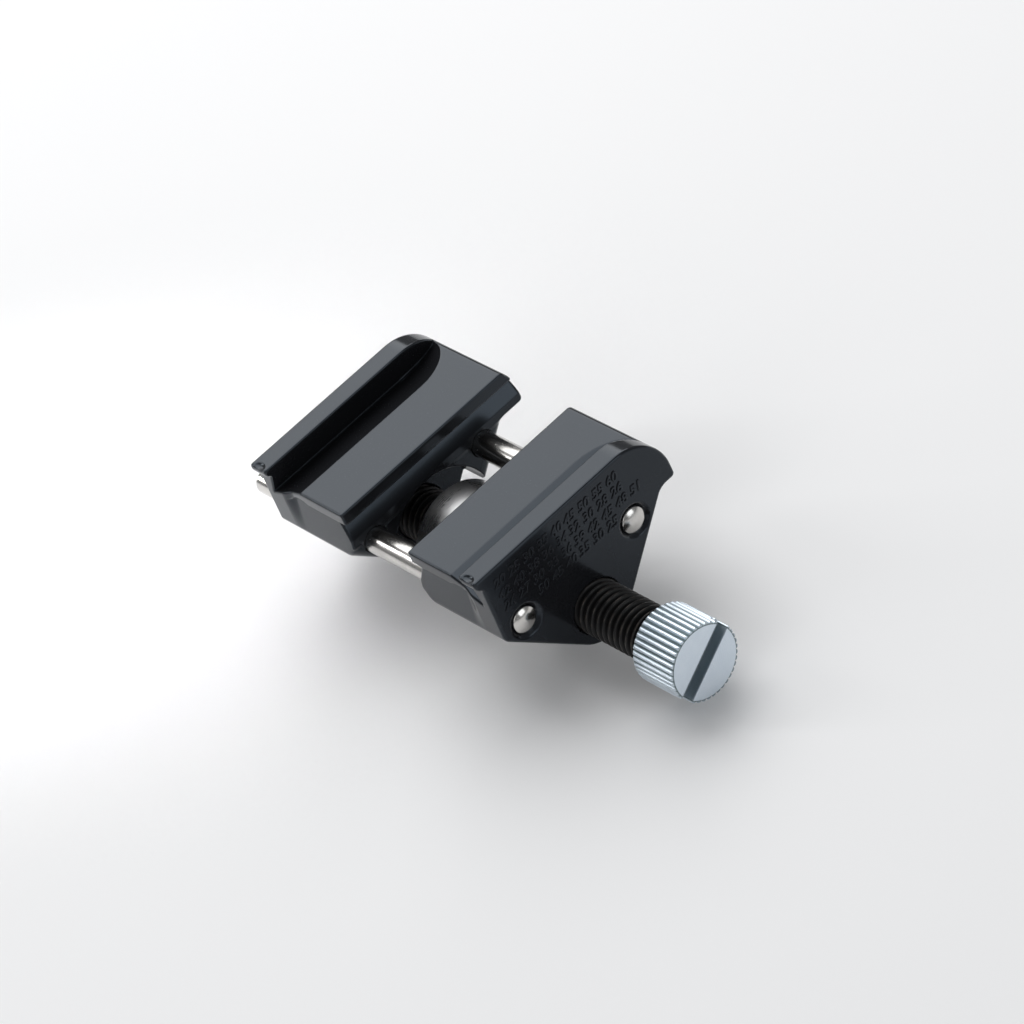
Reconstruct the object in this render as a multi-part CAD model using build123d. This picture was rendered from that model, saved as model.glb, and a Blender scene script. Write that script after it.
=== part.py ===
from build123d import *
import math
import os

# Side-clamping honing guide for chisels and plane irons.
# Millimetres. The origin is the centre of the roller, on the axis of the spindle.
# +X points towards the cutting edge, +Y along the spindle towards the knob, and
# +Z up, square to the two decks. The jaws stand at their rest opening.

# ---- Opening of the jaws ------------------------------------------------------
REST_GAP = 18.4            # between the two lip edges, at rest
CLOSED_GAP = 0.8           # the narrowest that the lip edges come together
OPEN_TRAVEL = 14.0         # how far each jaw moves out from rest

# ---- Spindle, knob and thread -------------------------------------------------
THREAD_DIAMETER = 10.0     # left-hand on the knob side, right-hand on the far side
THREAD_CLEARANCE = 0.06    # radial, jaw bore over the thread
THREAD_ENGAGEMENT = 16.8   # length left in the far jaw when fully open
JOURNAL_DIAMETER = 10.0    # plain length in the middle, under the roller
THREAD_LEAD_IN = 0.8       # chamfer on the far end of the thread
KNOB_SHANK_DIAMETER = 7.0  # spigot that the knob is pressed on to
KNOB_SHANK_LENGTH = 6.5
KNOB_DIAMETER = 14.4
KNOB_LENGTH = 10.3
KNOB_STANDOFF = 3.3        # between knob and jaw when fully open
KNOB_TEETH = 40            # straight knurl
KNURL_DEPTH = 0.45
KNOB_CHAMFER = 0.35
SLOT_WIDTH = 2.6           # screwdriver slot across the knob
SLOT_DEPTH = 2.3
SLOT_ANGLE = 149.0         # degrees from +X towards +Z

# ---- Roller and what keeps it in place ----------------------------------------
ROLLER_DIAMETER = 20.2
ROLLER_WIDTH = 12.0
ROLLER_EDGE = 0.6          # rounding of the tread's corners
BUSH_WALL = 1.5
BUSH_CLEARANCE = 0.05      # radial, bush on journal
WASHER_DIAMETER = 15.0
WASHER_THICKNESS = 0.8
WASHER_CLEARANCE = 0.08    # radial, washer on journal
CLIP_DIAMETER = 14.0
CLIP_THICKNESS = 1.0
CLIP_GROOVE_DEPTH = 0.45
CLIP_OPENING = 60.0        # degrees of the clip's ring left open
CLIP_EAR_RADIUS = 1.5
CLIP_EYE_RADIUS = 0.6      # holes for the circlip pliers
END_FLOAT = 0.1            # side play on each face of the roller and washers

# ---- Guide rods ---------------------------------------------------------------
ROD_DIAMETER = 5.0
ROD_ANGLE = 33.5           # degrees above horizontal, seen from the spindle axis
ROD_CLEARANCE = 0.05       # radial, in the far jaw only
ROD_ENGAGEMENT = 5.0       # length left in the far jaw when fully open
ROD_DOME = 0.5             # rounded end, standing proud of the knob-side jaw
ROD_CHAMFER = 0.5

# ---- Jaw casting --------------------------------------------------------------
JAW_WIDTH = 22.5           # lip edge to outer face, along Y
POCKET_CLEARANCE = 0.8     # radial, roller to its pocket
POCKET_END_CLEARANCE = 0.4
POCKET_ROOF = 0.9          # metal between roller pocket and chisel groove
CHISEL_GROOVE_HEIGHT = 3.7
CHISEL_GROOVE_DEPTH = 2.2
LIP_THICKNESS = 2.6        # deck plate over the chisel groove
FACE_RECESS = 0.4          # inner face, behind the lip edge
RIM_RISE = 3.9             # outer rim above the deck
RIM_WIDTH = 4.7            # rim top, along Y
RIM_ROOT = 2.3             # metal left behind the undercut
IRON_GROOVE_WIDTH = 8.2    # plane iron groove: deck edge to root
IRON_GROOVE_DEPTH = 2.5
GROOVE_RUNOUT = 9.5        # length at the back over which the groove fades out
RUNOUT_END = 1.9           # from the back face to where the groove has faded out
RUNOUT_STEPS = 5
RUNOUT_LAST_SHARE = 0.08   # depth of the last section, as a share of the full depth
BOSS_WALL = 2.1            # around the threaded bore
FLANK_ANGLE = 45.0         # degrees, slope of the two lower flanks
ROD_WALL = 2.2             # roller pocket to rod hole
END_WALL = 1.6             # rod hole to front edge of the deck
FRONT_DRAFT = 1.0          # the front face leans out this much on its way down
LEDGE_HEIGHT = 10.1        # underside of the tail, above the spindle axis
TAIL_OVERHANG = 3.45       # tail behind the top of the back flank
BACK_CORNER = 9.4          # large round over the back
NOSE_REACH = 1.5           # front end of the rim, in front of the deck's front edge
NOSE_HEIGHT = 1.5
NOSE_SLOPE = 0.7           # height of the slope under the nose
PLATE_STEP = 0.5           # outer plate under the nose, in front of the deck's front edge
PLATE_BLEND = 3.2          # plate easing into the front face, along Y
INNER_CORNER_ROUND = 3.0   # inner face to the lower flanks
ROD_MOUTH_CHAMFER = 0.8    # countersink of the rod holes in the outer face

# ---- Cutters and overlaps -----------------------------------------------------
OVERCUT = 5.0              # how far a cutter runs past the metal
WEDGE_OVERLAP = 1.0        # how far the plate's blend is let into the front wall
GROOVE_OVERLAP = 0.4       # iron groove's cutter above the deck

# ---- Worked out from the above ------------------------------------------------
thread_radius = THREAD_DIAMETER / 2
journal_radius = JOURNAL_DIAMETER / 2
roller_radius = ROLLER_DIAMETER / 2
rod_radius = ROD_DIAMETER / 2
lip_edge = REST_GAP / 2
outer_face = lip_edge + JAW_WIDTH

washer_inner = ROLLER_WIDTH / 2 + END_FLOAT
clip_inner = washer_inner + WASHER_THICKNESS + END_FLOAT
stack_half = clip_inner + CLIP_THICKNESS

pocket_radius = roller_radius + POCKET_CLEARANCE
pocket_depth = stack_half + POCKET_END_CLEARANCE - CLOSED_GAP / 2
groove_floor = pocket_radius + POCKET_ROOF
lip_underside = groove_floor + CHISEL_GROOVE_HEIGHT
deck_height = lip_underside + LIP_THICKNESS
rim_height = deck_height + RIM_RISE
boss_radius = thread_radius + BOSS_WALL

rod_distance = pocket_radius + ROD_WALL + rod_radius
rod_x = rod_distance * math.cos(math.radians(ROD_ANGLE))
rod_z = rod_distance * math.sin(math.radians(ROD_ANGLE))

flank_cos = math.cos(math.radians(FLANK_ANGLE))
flank_sin = math.sin(math.radians(FLANK_ANGLE))
front_edge = rod_x + rod_radius + END_WALL
front_foot = front_edge + FRONT_DRAFT
rim_inner = outer_face - RIM_WIDTH
groove_root = outer_face - RIM_ROOT
groove_edge = groove_root - IRON_GROOVE_WIDTH
undercut_slope = (groove_root - rim_inner) / (RIM_RISE + IRON_GROOVE_DEPTH)
wall_at_deck = rim_inner + undercut_slope * RIM_RISE
inner_face = lip_edge + FACE_RECESS

knob_inner = outer_face + OPEN_TRAVEL + KNOB_STANDOFF
thread_end = lip_edge + OPEN_TRAVEL + THREAD_ENGAGEMENT
rod_end = lip_edge + 2 * OPEN_TRAVEL + ROD_ENGAGEMENT


def flank_x(z):
    """Distance from the spindle axis to the lower flank at height z."""
    return (boss_radius + z * flank_cos) / flank_sin


def flank_z(x):
    """Height of the lower flank at distance x from the spindle axis."""
    return (x * flank_sin - boss_radius) / flank_cos


back_face = -(flank_x(LEDGE_HEIGHT) + TAIL_OVERHANG)
foot = (front_foot, flank_z(front_foot))
nose_front = front_edge + NOSE_REACH
nose_underside = rim_height - NOSE_HEIGHT
plate_top = (front_edge + PLATE_STEP, nose_underside - NOSE_SLOPE)
plate_lean = (foot[0] - plate_top[0]) / (plate_top[1] - foot[1])
side_cut_length = 2 * (nose_front - back_face)


def along_y(face, start, end):
    """Extrude a face that was drawn in the XZ plane from y = start to y = end."""
    return extrude(Pos(0, start, 0) * face, amount=end - start, dir=(0, 1, 0))


def disc(radius, start, end):
    """Solid cylinder on the spindle axis from y = start to y = end."""
    return Pos(0, (start + end) / 2, 0) * Rot(90, 0, 0) * Cylinder(radius, end - start)


def ring(outer_radius, inner_radius, start, end):
    """Tube on the spindle axis."""
    return disc(outer_radius, start, end) - disc(inner_radius, start - OVERCUT, end + OVERCUT)


def side_outline(front_points):
    """Face in the XZ plane: rim top, back, tail, flanks and boss, closed by front_points.

    front_points run up the front from the top of the front flank to the rim.
    """
    back_round_x = back_face + BACK_CORNER
    tangent_x = boss_radius * flank_sin
    tangent_z = -boss_radius * flank_cos
    half = BACK_CORNER * math.sqrt(0.5)
    edges = [
        Line((front_points[-1][0], 0, rim_height), (back_round_x, 0, rim_height)),
        ThreePointArc(
            (back_round_x, 0, rim_height),
            (back_round_x - half, 0, rim_height - BACK_CORNER + half),
            (back_face, 0, rim_height - BACK_CORNER),
        ),
        Line((back_face, 0, rim_height - BACK_CORNER), (back_face, 0, LEDGE_HEIGHT)),
        Line((back_face, 0, LEDGE_HEIGHT), (-flank_x(LEDGE_HEIGHT), 0, LEDGE_HEIGHT)),
        Line((-flank_x(LEDGE_HEIGHT), 0, LEDGE_HEIGHT), (-tangent_x, 0, tangent_z)),
        ThreePointArc((-tangent_x, 0, tangent_z), (0, 0, -boss_radius), (tangent_x, 0, tangent_z)),
    ]
    last = (tangent_x, 0, tangent_z)
    for x, z in front_points:
        edges.append(Line(last, (x, 0, z)))
        last = (x, 0, z)
    return make_face(Wire(edges))


def deck_body():
    """The casting between lip edge and rim, before its grooves."""
    front = [foot, (front_edge, lip_underside), (front_edge, rim_height)]
    return along_y(side_outline(front), lip_edge, groove_root)


def outer_plate():
    """Outer wall of the jaw: its front edge stands a little proud, and more at the rim's nose."""
    front = [foot, plate_top, (nose_front, nose_underside), (nose_front, rim_height)]
    return along_y(side_outline(front), rim_inner, outer_face)


def plate_blend():
    """Wedge that eases the outer plate's proud edge into the front face."""
    inside = front_edge - WEDGE_OVERLAP
    wide = Polyline(
        (inside, rim_inner, flank_z(inside)),
        (foot[0], rim_inner, foot[1]),
        (plate_top[0] + plate_lean * (plate_top[1] - lip_underside), rim_inner, lip_underside),
        (inside, rim_inner, lip_underside),
        close=True,
    )
    narrow_y = rim_inner - PLATE_BLEND
    narrow = Polyline(
        (inside, narrow_y, flank_z(inside)),
        (foot[0], narrow_y, foot[1]),
        (front_edge, narrow_y, lip_underside),
        (inside, narrow_y, lip_underside),
        close=True,
    )
    return loft([make_face(wide), make_face(narrow)], ruled=True)


def side_cut(outline):
    """Cutter right through the jaw along X, from an outline drawn as (y, z)."""
    section = Plane.YZ.offset(-side_cut_length / 2) * make_face(outline)
    return extrude(section, amount=side_cut_length)


def chisel_groove_cutter():
    """Recessed inner face and the V groove that takes a chisel's edge, below the lip."""
    past = lip_edge - OVERCUT
    below = -boss_radius - OVERCUT
    outline = Polyline(
        (past, lip_underside),
        (lip_edge + CHISEL_GROOVE_DEPTH, lip_underside),
        (inner_face, groove_floor),
        (inner_face, below),
        (past, below),
        close=True,
    )
    return side_cut(outline)


def deck_cutter():
    """Everything above the deck, up to the undercut wall of the rim."""
    past = lip_edge - OVERCUT
    above = rim_height + OVERCUT
    outline = Polyline(
        (past, deck_height),
        (wall_at_deck, deck_height),
        (rim_inner, rim_height),
        (rim_inner, above),
        (past, above),
        close=True,
    )
    return side_cut(outline)


def groove_section(x, depth_share):
    """Triangle below the deck at station x; depth_share 1 is the full plane iron groove."""
    root_y = wall_at_deck + (groove_root - wall_at_deck) * depth_share
    root_z = deck_height - IRON_GROOVE_DEPTH * depth_share
    edge_y = wall_at_deck - (wall_at_deck - groove_edge) * depth_share
    top = deck_height + GROOVE_OVERLAP
    wall_at_top = rim_inner + undercut_slope * (rim_height - top)
    return make_face(
        Polyline(
            (x, edge_y, deck_height),
            (x, root_y, root_z),
            (x, wall_at_top, top),
            (x, edge_y, top),
            close=True,
        )
    )


def iron_groove_cutter():
    """Undercut groove beside the rim; it fades out on a quarter-round curve at the back."""
    runout_start = back_face + RUNOUT_END + GROOVE_RUNOUT
    straight_length = front_foot + OVERCUT - runout_start
    straight = extrude(groove_section(runout_start, 1.0), amount=straight_length, dir=(1, 0, 0))
    sections = []
    for step in range(RUNOUT_STEPS + 1):
        share = step / RUNOUT_STEPS
        depth_share = max(math.sqrt(1 - share * share), RUNOUT_LAST_SHARE)
        sections.append(groove_section(runout_start - share * GROOVE_RUNOUT, depth_share))
    cutter = straight
    for here, there in zip(sections, sections[1:]):
        cutter += loft([here, there], ruled=True)
    return cutter


def round_inner_corners(body):
    """Round the edges where the inner face meets the two lower flanks."""
    corners = [
        edge
        for edge in body.edges().filter_by(GeomType.LINE)
        if abs(edge.center().Y - inner_face) < ROD_CLEARANCE
        and abs(edge.center().Z - flank_z(abs(edge.center().X))) < ROD_CLEARANCE
    ]
    return fillet(corners, INNER_CORNER_ROUND)


def jaw_blank():
    """One jaw on the +Y side with its grooves and roller pocket, before the bores."""
    body = deck_body() + outer_plate() + plate_blend()
    body -= deck_cutter()
    body -= iron_groove_cutter()
    body -= chisel_groove_cutter()
    body = round_inner_corners(body)
    body -= disc(pocket_radius, lip_edge - OVERCUT, lip_edge + pocket_depth)
    return body


def rod_hole(side, radius):
    """Cutter for one guide rod hole right through a +Y jaw; side is +1 front, -1 rear."""
    hole = disc(radius, lip_edge - OVERCUT, outer_face + OVERCUT)
    mouth = Pos(0, outer_face, 0) * Rot(-90, 0, 0)
    hole += mouth * Cone(radius, radius + ROD_MOUTH_CHAMFER, ROD_MOUTH_CHAMFER)
    return Pos(side * rod_x, 0, rod_z) * hole


def jaw(rod_hole_radius):
    """Finished jaw on the +Y side, with rod holes of the given radius."""
    body = jaw_blank()
    body -= disc(thread_radius + THREAD_CLEARANCE, lip_edge - OVERCUT, outer_face + OVERCUT)
    for side in (1, -1):
        body -= rod_hole(side, rod_hole_radius)
    return body


def guide_rod(side):
    """Rod fixed in the knob-side jaw, long enough to stay in the far jaw when fully open."""
    rod = disc(rod_radius, -rod_end, outer_face)
    rod = chamfer(rod.edges().sort_by(Axis.Y)[0], ROD_CHAMFER)
    sphere_radius = (rod_radius**2 + ROD_DOME**2) / (2 * ROD_DOME)
    dome = Pos(0, outer_face + ROD_DOME - sphere_radius, 0) * Sphere(sphere_radius)
    dome &= disc(rod_radius, outer_face - ROD_DOME, outer_face + 2 * ROD_DOME)
    return Pos(side * rod_x, 0, rod_z) * (rod + dome)


def spindle():
    """Left- and right-hand threaded spindle (threads as plain cylinders) with its journal."""
    far = disc(thread_radius, -thread_end, -stack_half)
    far = chamfer(far.edges().sort_by(Axis.Y)[0], THREAD_LEAD_IN)
    body = far + disc(journal_radius, -stack_half, stack_half)
    body += disc(thread_radius, stack_half, knob_inner)
    body += disc(KNOB_SHANK_DIAMETER / 2, knob_inner, knob_inner + KNOB_SHANK_LENGTH)
    for side in (1, -1):
        start, end = sorted((side * clip_inner, side * stack_half))
        body -= ring(journal_radius + OVERCUT, journal_radius - CLIP_GROOVE_DEPTH, start, end)
    return body


def knob():
    """Knurled knob with a screwdriver slot across its end, pressed on to the spindle."""
    outer = KNOB_DIAMETER / 2
    points = []
    for index in range(2 * KNOB_TEETH):
        angle = math.pi * index / KNOB_TEETH
        radius = outer if index % 2 == 0 else outer - KNURL_DEPTH
        points.append((radius * math.cos(angle), 0, radius * math.sin(angle)))
    body = along_y(make_face(Polyline(*points, close=True)), knob_inner, knob_inner + KNOB_LENGTH)
    face = knob_inner + KNOB_LENGTH
    for end, lean in ((knob_inner, 90), (face, -90)):
        inward = 1 if end == knob_inner else -1
        trim = Pos(0, end + inward * KNOB_CHAMFER, 0) * Rot(lean, 0, 0)
        cone = trim * Cone(outer + KNOB_CHAMFER, outer - KNOB_CHAMFER, 2 * KNOB_CHAMFER)
        band_start, band_end = sorted((end - inward, end + inward * KNOB_CHAMFER))
        body -= ring(outer + OVERCUT, outer - OVERCUT, band_start, band_end) - cone
    body -= disc(KNOB_SHANK_DIAMETER / 2, knob_inner - OVERCUT, knob_inner + KNOB_SHANK_LENGTH)
    slot = Pos(0, face, 0) * Rot(0, -SLOT_ANGLE, 0) * Box(KNOB_DIAMETER * 2, 2 * SLOT_DEPTH, SLOT_WIDTH)
    return body - slot


def roller():
    """Plain steel roller with rounded tread corners."""
    bush_outer = journal_radius + BUSH_CLEARANCE + BUSH_WALL
    body = disc(roller_radius, -ROLLER_WIDTH / 2, ROLLER_WIDTH / 2)
    body = fillet(body.edges().filter_by(GeomType.CIRCLE), ROLLER_EDGE)
    return body - disc(bush_outer, -ROLLER_WIDTH, ROLLER_WIDTH)


def roller_bush():
    """Bronze bush pressed in the roller, running on the journal."""
    bore = journal_radius + BUSH_CLEARANCE
    return ring(bore + BUSH_WALL, bore, -ROLLER_WIDTH / 2, ROLLER_WIDTH / 2)


def thrust_washer(side):
    """Washer between the roller's end and its circlip."""
    start, end = sorted((side * washer_inner, side * (washer_inner + WASHER_THICKNESS)))
    return ring(WASHER_DIAMETER / 2, journal_radius + WASHER_CLEARANCE, start, end)


def retaining_clip(side):
    """External circlip with two ears, open at the top."""
    start, end = sorted((side * clip_inner, side * stack_half))
    inner = journal_radius - CLIP_GROOVE_DEPTH
    outer = CLIP_DIAMETER / 2
    body = ring(outer - CLIP_EAR_RADIUS / 2, inner, start, end)
    half = math.radians(CLIP_OPENING / 2)
    reach = 2 * outer
    gap = Polyline(
        (0, 0, 0),
        (-reach * math.sin(half), 0, reach * math.cos(half)),
        (reach * math.sin(half), 0, reach * math.cos(half)),
        close=True,
    )
    body -= along_y(make_face(gap), start - OVERCUT, end + OVERCUT)
    ear_distance = outer - CLIP_EAR_RADIUS
    ear_angle = half + CLIP_EAR_RADIUS / ear_distance
    for hand in (1, -1):
        centre = Pos(
            hand * ear_distance * math.sin(ear_angle), (start + end) / 2, ear_distance * math.cos(ear_angle)
        ) * Rot(90, 0, 0)
        body += centre * Cylinder(CLIP_EAR_RADIUS, CLIP_THICKNESS)
        body -= centre * Cylinder(CLIP_EYE_RADIUS, 2 * CLIP_THICKNESS)
    return body - disc(inner, start - OVERCUT, end + OVERCUT)


parts = {
    "knob_side_jaw": jaw(rod_radius),
    "far_jaw": jaw(rod_radius + ROD_CLEARANCE).mirror(Plane.XZ),
    "guide_rod_front": guide_rod(1),
    "guide_rod_rear": guide_rod(-1),
    "spindle": spindle(),
    "knob": knob(),
    "roller": roller(),
    "roller_bush": roller_bush(),
    "thrust_washer_knob_side": thrust_washer(1),
    "thrust_washer_far_side": thrust_washer(-1),
    "retaining_clip_knob_side": retaining_clip(1),
    "retaining_clip_far_side": retaining_clip(-1),
}

os.makedirs("parts", exist_ok=True)
for name, shape in parts.items():
    export_step(shape, f"parts/{name}.step")
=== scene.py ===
"""Visual model of a side-clamping honing guide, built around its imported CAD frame.

The classes hold their sizes in millimetres, and meshes are written in metres. +X points
towards the cutting edge, +Y along the spindle towards the knob, and +Z up.
"""
import logging
import math
from dataclasses import dataclass
from enum import Enum
from typing import Callable

import bpy
import numpy as np
from mathutils import Matrix, Vector


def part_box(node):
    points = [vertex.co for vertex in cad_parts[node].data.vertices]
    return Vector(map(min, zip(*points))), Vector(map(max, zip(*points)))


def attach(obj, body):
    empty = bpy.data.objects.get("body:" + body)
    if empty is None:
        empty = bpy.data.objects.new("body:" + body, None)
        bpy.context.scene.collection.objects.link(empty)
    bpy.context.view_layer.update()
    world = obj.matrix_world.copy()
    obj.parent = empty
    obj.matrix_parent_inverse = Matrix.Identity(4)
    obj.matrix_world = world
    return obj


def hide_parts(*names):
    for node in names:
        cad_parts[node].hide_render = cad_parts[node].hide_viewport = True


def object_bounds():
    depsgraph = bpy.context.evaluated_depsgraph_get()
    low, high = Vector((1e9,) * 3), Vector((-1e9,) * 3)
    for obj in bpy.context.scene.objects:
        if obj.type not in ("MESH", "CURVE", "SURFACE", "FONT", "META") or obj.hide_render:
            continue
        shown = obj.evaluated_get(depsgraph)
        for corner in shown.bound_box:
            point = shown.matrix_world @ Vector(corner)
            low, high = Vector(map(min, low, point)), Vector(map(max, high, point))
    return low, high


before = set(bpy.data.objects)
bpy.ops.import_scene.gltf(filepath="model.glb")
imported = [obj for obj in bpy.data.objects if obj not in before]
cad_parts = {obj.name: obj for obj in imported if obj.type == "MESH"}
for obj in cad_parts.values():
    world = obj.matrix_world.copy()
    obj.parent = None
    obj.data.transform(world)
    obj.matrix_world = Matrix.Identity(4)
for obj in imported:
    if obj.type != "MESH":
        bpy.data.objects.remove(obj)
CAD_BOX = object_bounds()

MM = 0.001
FULL_TURN = 2 * math.pi
DIAGONAL = math.sqrt(0.5)  # scales x + y to the distance from a line at 45 degrees
KNURL_DEPTH = 0.45
BUSH_CLEARANCE = 0.05
WASHER_CLEARANCE = 0.08
CLIP_GROOVE_DEPTH = 0.45
LOG = logging.getLogger("honing_guide")

Triple = tuple[float, float, float]
Colour = Triple
Grid = np.ndarray
Faces = list[tuple[int, ...]]
Field = Callable[[Grid, Grid, Grid], Grid]


# ---- Shader maths ----


class Shade:
    """An output of a shader node that takes part in sums written as Python."""

    def __init__(self, recipe: "Recipe", socket: bpy.types.NodeSocket) -> None:
        """Wrap a socket.

        Args:
            recipe: The material recipe that the socket belongs to.
            socket: The output socket.
        """
        self.recipe = recipe
        self.socket = socket

    def __add__(self, other: "Shade | float") -> "Shade":
        """Sum of the two values."""
        return self.recipe.sum("ADD", self, other)

    __radd__ = __add__

    def __sub__(self, other: "Shade | float") -> "Shade":
        """This value less the other."""
        return self.recipe.sum("SUBTRACT", self, other)

    def __rsub__(self, other: "Shade | float") -> "Shade":
        """The other value less this one."""
        return self.recipe.sum("SUBTRACT", other, self)

    def __mul__(self, other: "Shade | float") -> "Shade":
        """Product of the two values."""
        return self.recipe.sum("MULTIPLY", self, other)

    __rmul__ = __mul__


class Recipe:
    """The node tree of one material and the calls that add to it."""

    def __init__(self, name: str) -> None:
        """Make an empty material with one surface shader.

        Args:
            name: The material's name.
        """
        self.material = bpy.data.materials.new(name)
        self.material.use_nodes = True
        self.tree = self.material.node_tree
        self.tree.nodes.clear()
        self.shader = self.tree.nodes.new("ShaderNodeBsdfPrincipled")
        output = self.tree.nodes.new("ShaderNodeOutputMaterial")
        self.tree.links.new(self.shader.outputs[0], output.inputs[0])

    def node(
        self,
        kind: str,
        settings: dict[str, object] | None = None,
        values: dict[str | int, object] | None = None,
        output: str | int = 0,
    ) -> Shade:
        """Add a node.

        Args:
            kind: The node's type.
            settings: Its own settings, such as an operation, set first.
            values: Numbers, colours or other nodes' outputs for its sockets.
            output: The output that is handed back.

        Returns:
            The chosen output.
        """
        made = self.tree.nodes.new(kind)
        for key, value in (settings or {}).items():
            setattr(made, key, value)
        self.fill(made, values or {})
        return Shade(self, made.outputs[output])

    def fill(self, node: bpy.types.Node, values: dict[str | int, object]) -> None:
        """Set or link a node's input sockets.

        Args:
            node: The node.
            values: Number, colour or Shade for each socket, by name or place.
        """
        for key, value in values.items():
            socket = node.inputs[key]
            if isinstance(value, Shade):
                self.tree.links.new(value.socket, socket)
            elif isinstance(value, tuple) and len(value) == 3 and socket.type == "RGBA":
                socket.default_value = (*value, 1.0)
            else:
                socket.default_value = value

    def sum(self, operation: str, first: "Shade | float", second: "Shade | float") -> Shade:
        """Add a Math node for two values."""
        return self.node("ShaderNodeMath", {"operation": operation}, {0: first, 1: second})

    def clamp(self, value: Shade, low: float, high: float) -> Shade:
        """Spread low to high over 0 to 1, smoothly, and hold it there."""
        settings = {"interpolation_type": "SMOOTHSTEP", "clamp": True}
        return self.node(
            "ShaderNodeMapRange", settings, {"Value": value, "From Min": low, "From Max": high}
        )

    def mix(self, mask: Shade, low: "Colour | Shade", high: "Colour | Shade") -> Shade:
        """Colour that runs from low, where the mask is 0, to high, where it is 1."""
        return self.node(
            "ShaderNodeMix", {"data_type": "RGBA"}, {0: mask, 6: low, 7: high}, output=2
        )

    def place(self, stretch: Triple = (1.0, 1.0, 1.0)) -> Shade:
        """Position on the piece in millimetres, stretched along each axis."""
        metres = self.node("ShaderNodeTexCoord", output="Object")
        factors = tuple(share / MM for share in stretch)
        return self.node("ShaderNodeVectorMath", {"operation": "MULTIPLY"}, {0: metres, 1: factors})

    def noise(self, scale: float, detail: float = 2.0, stretch: Triple = (1.0, 1.0, 1.0)) -> Shade:
        """Cloudy pattern from 0 to 1.

        Args:
            scale: Features per millimetre.
            detail: How many finer layers it has.
            stretch: Factors on the pattern's frequency along each axis.

        Returns:
            The pattern's level.
        """
        values = {"Vector": self.place(stretch), "Scale": scale, "Detail": detail}
        return self.node("ShaderNodeTexNoise", values=values)

    def spindle_distance(self) -> Shade:
        """Distance from the spindle's axis, in millimetres."""
        flat = self.place((1.0, 0.0, 1.0))
        return self.node("ShaderNodeVectorMath", {"operation": "LENGTH"}, {0: flat}, output="Value")

    def sharpness(self) -> Shade:
        """1 on outer edges, 0 elsewhere."""
        pointed = self.node("ShaderNodeNewGeometry", output="Pointiness")
        return self.clamp(pointed, 0.52, 0.62)

    def bump(self, height: Shade, depth: float) -> Shade:
        """Normal of a surface raised by a pattern.

        Args:
            height: The pattern, from 0 to 1.
            depth: Height of its full range, in millimetres.

        Returns:
            The normal.
        """
        return self.node("ShaderNodeBump", values={"Height": height, "Distance": depth * MM})

    def surface(self, **sockets: "Shade | Colour | float") -> bpy.types.Material:
        """Set the surface shader's sockets, named with _ for a space, and finish."""
        self.fill(self.shader, {key.replace("_", " "): value for key, value in sockets.items()})
        return self.material


# ---- Finishes ----


@dataclass(frozen=True)
class Finish:
    """A finish with a name; each kind of finish says how its material is made."""

    name: str

    def material(self) -> bpy.types.Material:
        """The finish's material, made the first time it is asked for."""
        known = bpy.data.materials.get(self.name)
        return known if known else self.make(Recipe(self.name))

    def make(self, recipe: Recipe) -> bpy.types.Material:
        """Build the material; every kind of finish has its own.

        Args:
            recipe: The empty recipe.

        Returns:
            The material.
        """
        raise NotImplementedError


@dataclass(frozen=True)
class GlossEnamel(Finish):
    """Black stoving enamel on a die casting: faint orange peel and thin edges."""

    dark: Colour = (0.0085, 0.009, 0.0105)
    pale: Colour = (0.014, 0.0145, 0.0165)
    edge: Colour = (0.030, 0.031, 0.034)
    peel_depth: float = 0.0016
    specular_level: float = 0.37
    # Painted reflection colour: a cool blue tint on the enamel's reflections that stands in for the
    # colour of the studio light.
    painted_reflection_tint: Colour = (0.72, 0.85, 1.0)

    def make(self, recipe: Recipe) -> bpy.types.Material:
        """Build the enamel.

        Args:
            recipe: The empty recipe.

        Returns:
            The material.
        """
        cloud = recipe.noise(0.09, 3.0)
        speck = recipe.clamp(recipe.noise(5.5, 1.0), 0.70, 0.78)
        peel = recipe.noise(1.1, 2.0) + recipe.noise(0.35, 1.0) * 1.6
        thin = recipe.sharpness() * recipe.noise(1.4, 3.0)
        colour = recipe.mix(thin, recipe.mix(cloud, self.dark, self.pale), self.edge)
        roughness = 0.115 + 0.05 * cloud + 0.16 * speck + 0.08 * thin
        return recipe.surface(
            Base_Color=colour,
            Roughness=roughness,
            Specular_IOR_Level=self.specular_level,
            # The specular tint paints the light's blue into the enamel's reflections.
            Specular_Tint=self.painted_reflection_tint,
            Normal=recipe.bump(peel, self.peel_depth),
        )


@dataclass(frozen=True)
class BlackOxide(Finish):
    """Oiled black oxide on a cut thread, rubbed a little on its crests."""

    dark: Colour = (0.010, 0.0097, 0.0100)
    rubbed: Colour = (0.044, 0.036, 0.031)
    crest_radius: float = 5.0

    def make(self, recipe: Recipe) -> bpy.types.Material:
        """Build the oxide.

        Args:
            recipe: The empty recipe.

        Returns:
            The material.
        """
        crest = recipe.clamp(recipe.spindle_distance(), self.crest_radius - 0.22, self.crest_radius)
        worn = crest * recipe.clamp(recipe.noise(0.8, 4.0), 0.40, 0.72)
        cuts = recipe.noise(2.2, 3.0, (0.25, 6.0, 0.25))
        colour = recipe.mix(worn, self.dark, self.rubbed)
        return recipe.surface(
            Base_Color=colour,
            Metallic=0.55,
            Roughness=0.34 + 0.14 * cuts - 0.10 * worn,
            Normal=recipe.bump(cuts, 0.004),
        )


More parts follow.
